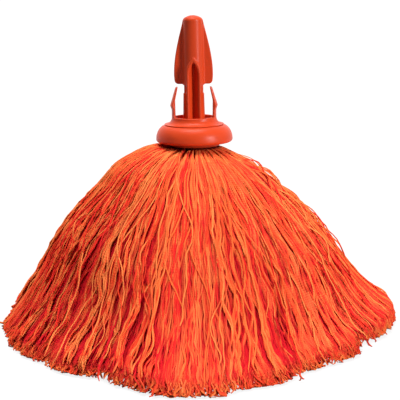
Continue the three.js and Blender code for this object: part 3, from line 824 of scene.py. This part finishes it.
def yarn_piece(name, points, girth, look, sides, material):
    """One object of many yarns: closed tubes, each with its own strip of the bake's map."""
    count, steps = girth.shape
    aside, over = tube_frames(points)
    angles = TURN * np.arange(sides) / sides
    ring = (
        np.cos(angles)[None, None, :, None] * aside[:, :, None, :]
        + np.sin(angles)[None, None, :, None] * over[:, :, None, :]
    )
    vertices = points[:, :, None, :] + girth[:, :, None, None] * ring
    tips = np.stack([points[:, 0], points[:, -1]], 1)
    body_count = count * steps * sides
    yarn, step, side = np.meshgrid(
        np.arange(count), np.arange(steps - 1), np.arange(sides), indexing="ij"
    )
    follow = (side + 1) % sides
    base = (yarn * steps + step) * sides
    quads = np.stack([base + side, base + sides + side, base + sides + follow, base + follow], -1)
    quads = quads.reshape(-1, 4)[:, ::-1]
    cap_yarn, cap_side = np.meshgrid(np.arange(count), np.arange(sides), indexing="ij")
    cap_follow = (cap_side + 1) % sides
    first = cap_yarn * steps * sides
    last = (cap_yarn * steps + steps - 1) * sides
    start_cap = np.stack([first + cap_side, first + cap_follow, body_count + 2 * cap_yarn], -1)
    end_cap = np.stack([last + cap_follow, last + cap_side, body_count + 2 * cap_yarn + 1], -1)
    triangles = np.concatenate([start_cap.reshape(-1, 3), end_cap.reshape(-1, 3)])

    all_points = np.concatenate([vertices.reshape(-1, 3), tips.reshape(-1, 3)])
    loops = np.concatenate([quads.ravel(), triangles.ravel()])
    starts = np.concatenate(
        [np.arange(0, quads.size, 4), quads.size + np.arange(0, triangles.size, 3)]
    )
    mesh = new_mesh(name, all_points, loops, starts)
    mesh.shade_smooth()
    facing = (1 - NAP) * ring + NAP * look["facing"][:, :, None, :]
    ends = np.stack([points[:, 0] - points[:, 1], points[:, -1] - points[:, -2]], 1)
    normals = unit(np.concatenate([facing.reshape(-1, 3), ends.reshape(-1, 3)]))
    mesh.normals_split_custom_set_from_vertices(normals)

    # The bake's map gives each yarn one upright strip
    around = np.stack([side, side, side + 1, side + 1], -1)[..., ::-1].reshape(-1, 4) / sides
    down = np.stack([step, step + 1, step + 1, step], -1)[..., ::-1].reshape(-1, 4) / (steps - 1)
    strip = np.broadcast_to(yarn[..., None], yarn.shape + (4,)).reshape(-1, 4)
    cap_strip = np.broadcast_to(cap_yarn[..., None], cap_yarn.shape + (3,)).reshape(-1, 3)
    cap_around = np.stack([cap_side, cap_side + 1, cap_side + 0.5], -1).reshape(-1, 3) / sides
    body_u = ((strip + STRIP_START + STRIP_WIDTH * around) / count).ravel()
    body_v = (STRIP_TOP + STRIP_LENGTH * down).ravel()
    cap_u = ((cap_strip + STRIP_START + STRIP_WIDTH * cap_around) / count).ravel()
    cap_v = np.broadcast_to(CAP_STRIP, cap_strip.shape).ravel()
    bake_u = np.concatenate([body_u, cap_u, cap_u])
    bake_v = np.concatenate([body_v, cap_v, 1 - cap_v])
    # The yarn's own map runs once round it, and along it in millimetres
    turns = np.concatenate([around.ravel(), cap_around.ravel(), cap_around.ravel()])
    arc_rows = np.repeat(look["arc"].reshape(count, steps, 1), sides, 2).ravel()
    arc_ends = np.stack([look["arc"][:, 0], look["arc"][:, -1]], 1).ravel()
    lengths = np.concatenate([arc_rows, arc_ends])[loops]
    for map_name, places in (("OFBake", (bake_u, bake_v)), ("lay", (turns, lengths))):
        corners = np.stack(places, 1).astype(np.float32)
        mesh.uv_layers.new(name=map_name).data.foreach_set("uv", corners.ravel())

    for label in ("tone", "cover", "along"):
        whole = np.broadcast_to(look[label].reshape(count, -1, 1), (count, steps, sides))
        at_tips = np.stack([whole[:, 0, 0], whole[:, -1, 0]], 1)
        values = np.concatenate([whole.ravel(), at_tips.ravel()]).astype(np.float32)
        mesh.attributes.new(label, "FLOAT", "POINT").data.foreach_set("value", values)
    mesh.materials.append(material)
    return add_object(name, mesh)


# Materials
PLASTIC_SPECULAR = 0.19
PLASTIC_CLOUDS = {"Scale": 45, "Detail": 3}
PLASTIC_PEEL = {"Scale": 900, "Detail": 2}
PLASTIC_BUMP = {"Strength": 0.05, "Distance": 0.0002}
SMOOTHER, ROUGHER = 0.05, 0.07  # how far the plastic's roughness strays to each side
ZINC_GRAIN = {"Scale": 1500}
ZINC_ROUGHNESS = (0.25, 0.45)
ZINC_COLOUR = (0.62, 0.63, 0.65, 1)
# Colours of the yarns, from the reddest tone to the most orange
DYE = [
    (0.0, (0.86, 0.03, 0.022)),
    (0.3, (0.9, 0.08, 0.027)),
    (0.6, (0.92, 0.16, 0.042)),
    (1.0, (0.94, 0.235, 0.066)),
]
TONE_CONTRAST, TONE_START = 1.7, -0.55
FIBRE_TONE = 0.4  # how far the fibres change the tone
FIBRE_STRETCH = (3, 0.12, 1)
FIBRE_NOISE = {"Scale": 4, "Detail": 4}
# Painted shade: yarns turn a darker red with the cover over them, standing in for the shade between
# them, from the first depth in mm to the second
GAP_SHADE_COLOUR = (0.66, 0.013, 0.022, 1)
GAP_SHADE_COVER = (-0.9, 1.4)
# The cut ends are worn and painted darker, partly wear and partly painted shade of the hem, from
# the first place along a yarn to the second
WORN_AND_SHADED_END_COLOUR = (0.7, 0.1, 0.025, 1)
WORN_AND_SHADED_ALONG = (0.94, 1.0)
WORN_AND_SHADED_SHARE = 0.45
# Painted shade begins at the first place along a yarn, or cover in mm, and is full at the second
PAINTED_SHADE_COLOUR = (0.06, 0.004, 0.006, 1)
PAINTED_SHADE_IN_SLEEVE = (0.075, 0.055)
PAINTED_SHADE_UNDER_OTHERS = (0.17, 0.09)
PAINTED_SHADE_COVER = (0.3, 2.2)
PLIES = 2
PLY_CLIMB = 0.42  # ridges to a millimetre along the yarn
PLY_DEPTH = 0.35  # against the fibres
YARN_BUMP = {"Strength": 0.6, "Distance": 0.0004}
YARN_ROUGHNESS = 0.9
YARN_SPECULAR = 0.02


class NodeTree:
    """The nodes of a material or a world. A value given to an input can be a socket to join."""

    def __init__(self, owner):
        owner.use_nodes = True
        self.nodes = owner.node_tree.nodes
        self.links = owner.node_tree.links

    def fill(self, node, values):
        for name, value in values.items():
            if isinstance(value, bpy.types.NodeSocket):
                self.links.new(value, node.inputs[name])
            else:
                node.inputs[name].default_value = value
        return node

    def add(self, kind, values=(), **settings):
        node = self.nodes.new("ShaderNode" + kind)
        for name, setting in settings.items():
            setattr(node, name, setting)
        return self.fill(node, dict(values))

    def math(self, operation, *terms):
        return self.add("Math", dict(enumerate(terms)), operation=operation).outputs["Value"]

    def noise(self, place, values):
        return self.add("TexNoise", {"Vector": place, **values}).outputs["Fac"]

    def map_range(self, value, start, end, low=0, high=1):
        limits = {"From Min": start, "From Max": end, "To Min": low, "To Max": high}
        return self.add("MapRange", {"Value": value, **limits}).outputs["Result"]

    def mix(self, kind, factor, first, second):
        values = {"Factor": factor, "A": first, "B": second}
        return self.add("Mix", values, data_type=kind).outputs["Result"]

    def ramp(self, value, stops):
        node = self.add("ValToRGB", {"Fac": value})
        elements = node.color_ramp.elements
        while len(elements) < len(stops):
            elements.new(0.5)
        for element, (position, colour) in zip(elements, stops):
            element.position = position
            element.color = (*colour, 1)
        return node.outputs["Color"]

    def bump(self, height, values):
        return self.add("Bump", {"Height": height, **values}).outputs["Normal"]


def new_material(name):
    material = bpy.data.materials.new(name)
    tree = NodeTree(material)
    return material, tree, tree.nodes["Principled BSDF"]


def moulded_plastic(name, colour, shade, roughness):
    material, tree, shader = new_material(name)
    place = tree.add("TexCoord").outputs["Object"]
    clouds = tree.noise(place, PLASTIC_CLOUDS)
    tint = tree.ramp(clouds, [(0.3, shade), (0.7, colour)])
    peel = tree.noise(place, PLASTIC_PEEL)
    gloss = tree.map_range(clouds, 0, 1, roughness - SMOOTHER, roughness + ROUGHER)
    tree.fill(shader, {
        "Base Color": tint,
        "Roughness": gloss,
        "Normal": tree.bump(peel, PLASTIC_BUMP),
        "Specular IOR Level": PLASTIC_SPECULAR,
    })
    return material


def yarn_material():
    material, tree, shader = new_material("microfibre_yarn")
    tone, cover, along = (
        tree.add("Attribute", attribute_name=name).outputs["Fac"]
        for name in ("tone", "cover", "along")
    )
    lay = tree.add("UVMap", uv_map="lay").outputs["UV"]
    stretched = tree.add("Mapping", {"Vector": lay, "Scale": FIBRE_STRETCH}).outputs["Vector"]
    fibres = tree.noise(stretched, FIBRE_NOISE)

    shade = tree.math("MULTIPLY_ADD", tone, TONE_CONTRAST, TONE_START)
    dye = tree.ramp(tree.math("MULTIPLY_ADD", fibres, FIBRE_TONE, shade), DYE)
    # Painted shade: yarns under others are mixed towards a dark red
    gap_shaded = tree.mix("RGBA", tree.map_range(cover, *GAP_SHADE_COVER), dye, GAP_SHADE_COLOUR)
    # Worn ends, partly painted shade: the tips are mixed towards a darker brown
    ends = tree.map_range(along, *WORN_AND_SHADED_ALONG, 0, WORN_AND_SHADED_SHARE)
    worn_and_shaded = tree.mix("RGBA", ends, gap_shaded, WORN_AND_SHADED_END_COLOUR)

    # Painted shade: under the collar the yarns are painted near black, and further out where others
    # cover them
    sleeved = tree.map_range(along, *PAINTED_SHADE_IN_SLEEVE)
    near_root = tree.map_range(along, *PAINTED_SHADE_UNDER_OTHERS)
    shaded = tree.math("MULTIPLY", near_root, tree.map_range(cover, *PAINTED_SHADE_COVER))
    painted_shade = tree.mix("RGBA", tree.math("MAXIMUM", sleeved, shaded), worn_and_shaded, PAINTED_SHADE_COLOUR)

    # The ply is a helix round the yarn, with its fibres as fine noise
    parts = tree.add("SeparateXYZ", {"Vector": lay}).outputs
    plies = tree.math("MULTIPLY", parts["X"], PLIES)
    climb = tree.math("MULTIPLY_ADD", parts["Y"], PLY_CLIMB, plies)
    twist = tree.math("SINE", tree.math("MULTIPLY", climb, TURN))
    relief = tree.math("MULTIPLY_ADD", twist, PLY_DEPTH, fibres)
    tree.fill(shader, {
        "Base Color": painted_shade,
        "Normal": tree.bump(relief, YARN_BUMP),
        "Roughness": YARN_ROUGHNESS,
        "Specular IOR Level": YARN_SPECULAR,
    })
    return material


def brushed_zinc():
    material, tree, shader = new_material("zinc_plated_steel")
    grain = tree.noise(tree.add("TexCoord").outputs["Object"], ZINC_GRAIN)
    shine = tree.map_range(grain, 0, 1, *ZINC_ROUGHNESS)
    tree.fill(shader, {"Roughness": shine, "Base Color": ZINC_COLOUR, "Metallic": 1})
    return material


# Stage
FLOOR_REACH = 30000
FLOOR_ALBEDO = 0.12
FLOOR_GLOW = 0.865
WORLD_LEVEL = 0.055
# Painted shadow: the floor's glow fades out towards the axis under the skirt
PAINTED_SHADOW_UNDER_SKIRT = (0.145, 0.165)  # metres from the axis, where the floor's glow begins
WHITE = (1, 1, 1, 1)
CLIP_START, CLIP_END = 0.05, 60  # metres


def make_camera():
    data = bpy.data.cameras.new("photo_camera")
    data.lens = CAMERA_LENS
    data.sensor_width = SENSOR_WIDTH
    data.clip_start = CLIP_START
    data.clip_end = CLIP_END
    camera = add_object("photo_camera", data)
    turn = (
        Matrix.Rotation(math.radians(-CAMERA_YAW), 4, "Z")
        @ Matrix.Rotation(math.radians(90 - CAMERA_PITCH), 4, "X")
        @ Matrix.Rotation(math.radians(CAMERA_ROLL), 4, "Z")
    )
    place = Matrix.Translation((0, -CAMERA_DISTANCE * MM, CAMERA_HEIGHT * MM))
    camera.matrix_world = place @ turn
    bpy.context.scene.camera = camera


def sun_light(name, azimuth, elevation, spread, level, mirrored=False):
    """A wide soft lamp far away. Azimuth 0 is the camera's side, positive to its right.

    At level 1 a surface that faces the lamp shows its own colour. Only a mirrored lamp makes
    highlights.
    """
    data = bpy.data.lights.new(name, "SUN")
    data.angle = math.radians(spread)
    data.energy = math.pi * level
    lamp = add_object(name, data)
    lamp.visible_glossy = mirrored
    side, lift = math.radians(azimuth), math.radians(elevation)
    lamp.matrix_world = Matrix.Rotation(side, 4, "Z") @ Matrix.Rotation(math.pi / 2 - lift, 4, "X")


def seen_directly(tree):
    """1 for rays from the camera, a mirror or glass, and 0 for the light that surfaces get."""
    path = tree.add("LightPath").outputs
    seen = tree.math("MAXIMUM", path["Is Camera Ray"], path["Is Glossy Ray"])
    return tree.math("MAXIMUM", seen, path["Is Transmission Ray"])


def white_floor():
    material, tree, shader = new_material("studio_floor")
    glow = tree.math("MULTIPLY", seen_directly(tree), FLOOR_GLOW)
    # Painted shadow: no glow comes from under the skirt, so the floor there is dark
    place = tree.add("TexCoord").outputs["Object"]
    distance = tree.add("VectorMath", {0: place}, operation="LENGTH").outputs["Value"]
    shown = tree.math("MULTIPLY", glow, tree.map_range(distance, *PAINTED_SHADOW_UNDER_SKIRT))
    tree.fill(shader, {
        "Base Color": (FLOOR_ALBEDO, FLOOR_ALBEDO, FLOOR_ALBEDO, 1),
        "Roughness": 1,
        "Specular IOR Level": 0,
        "Emission Color": WHITE,
        "Emission Strength": shown,
    })
    # From below the floor is clear, so that the skirt's underside shows
    back = tree.add("NewGeometry").outputs["Backfacing"]
    camera_ray = tree.add("LightPath").outputs["Is Camera Ray"]
    below = tree.math("MULTIPLY", back, camera_ray)
    clear = tree.add("BsdfTransparent").outputs["BSDF"]
    either = tree.add("MixShader", {"Fac": below, 1: shader.outputs["BSDF"], 2: clear})
    tree.fill(tree.nodes["Material Output"], {"Surface": either.outputs["Shader"]})
    return material


def make_floor():
    corners = FLOOR_REACH * np.array([(-1, -1, 0), (1, -1, 0), (1, 1, 0), (-1, 1, 0)])
    face = np.array([[0, 1, 2, 3]])
    mesh_object("studio_floor", np.array(corners, float), face, white_floor())


def make_world():
    world = bpy.data.worlds.new("studio")
    tree = NodeTree(world)
    strength = tree.mix("FLOAT", seen_directly(tree), WORLD_LEVEL, 1)
    tree.fill(tree.nodes["Background"], {"Strength": strength, "Color": WHITE})
    bpy.context.scene.world = world


def dress_plastic():
    shell = moulded_plastic(
        "orange_plastic", colour=(0.67, 0.058, 0.011), shade=(0.63, 0.052, 0.01), roughness=0.34
    )
    plug = moulded_plastic(
        "plug_plastic", colour=(0.8, 0.07, 0.02), shade=(0.72, 0.055, 0.015), roughness=0.5
    )
    reach = FOOT_RADIUS + MARGIN
    low, high = (-reach, -reach, SPIKE_LOW.z - MARGIN), (reach, reach, TIP_Z + MARGIN)
    surface = surface_of(spike_distance, low, high, SPIKE_CELL)
    spike = mesh_object("spike_shell", *surface, shell)
    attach(spike, "head")
    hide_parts("handle_spike")
    collar = lathe("collar_shell", collar_profile(), COLLAR_STEPS, shell)
    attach(collar, "head")
    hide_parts("collar_dome")
    for side, name in ((-1, "left"), (1, "right")):
        near = (ARM_RADIUS - ARM_LEAN - ARM_ROOT_THICKNESS - 3 * MARGIN) * side
        far = (ARM_RADIUS + BARB_REACH + MARGIN) * side
        half = ARM_RADIUS * math.sin(math.radians(ARM_ROOT_HALF_ANGLE)) + MARGIN
        low = (min(near, far), -half, RIM_Z - ARM_SUNK - MARGIN)
        high = (max(near, far), half, RIM_Z + ARM_RISE + MARGIN)
        surface = surface_of(arm_distance(side), low, high, ARM_CELL)
        arm = mesh_object("arm_" + name, *surface, shell)
        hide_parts("snap_arm_" + name)
        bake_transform(arm)
    for node, material in (
        ("yarn_plug", plug),
        ("clamp_washer", brushed_zinc()),
        ("clamp_screw", brushed_zinc()),
    ):
        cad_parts[node].data.materials.clear()
        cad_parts[node].data.materials.append(material)


def dress_yarns():
    rng = np.random.default_rng(YARN_SEED)
    material = yarn_material()
    pitch = BUNDLES[0]["pitch"]
    roots = draw_bundles(rng, {"count": ROOT_BUNDLES, "pitch": pitch})
    hems = draw_bundles(rng, {"count": BUNDLES[1]["count"], "pitch": pitch})
    laid = [lay_yarns(rng, layer, roots, hems) for layer in LAYERS]
    find_cover(laid)
    nodes = ["yarn_front_left", "yarn_front_right", "yarn_back_left", "yarn_back_right"]
    for layer, (points, girth, look) in zip(LAYERS, laid):
        heading = np.arctan2(points[:, -1, 1], points[:, -1, 0]) % TURN
        for number, rows in enumerate(np.array_split(np.argsort(heading), layer["pieces"])):
            part = {name: values[rows] for name, values in look.items()}
            name = f"{layer['name']}_{number}"
            piece = yarn_piece(name, points[rows], girth[rows], part, layer["sides"], material)
            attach(piece, "head")
            if nodes:
                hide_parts(nodes.pop(0))


bpy.context.scene.view_settings.view_transform = "Standard"
make_camera()
make_world()
make_floor()
sun_light("key", azimuth=51, elevation=20, spread=12, level=0.68, mirrored=True)
sun_light("low_key", azimuth=54, elevation=3, spread=10, level=0.32, mirrored=True)
sun_light("top", azimuth=0, elevation=90, spread=34, level=0.68, mirrored=True)
sun_light("rim", azimuth=-120, elevation=68, spread=40, level=0.76)
dress_plastic()
dress_yarns()
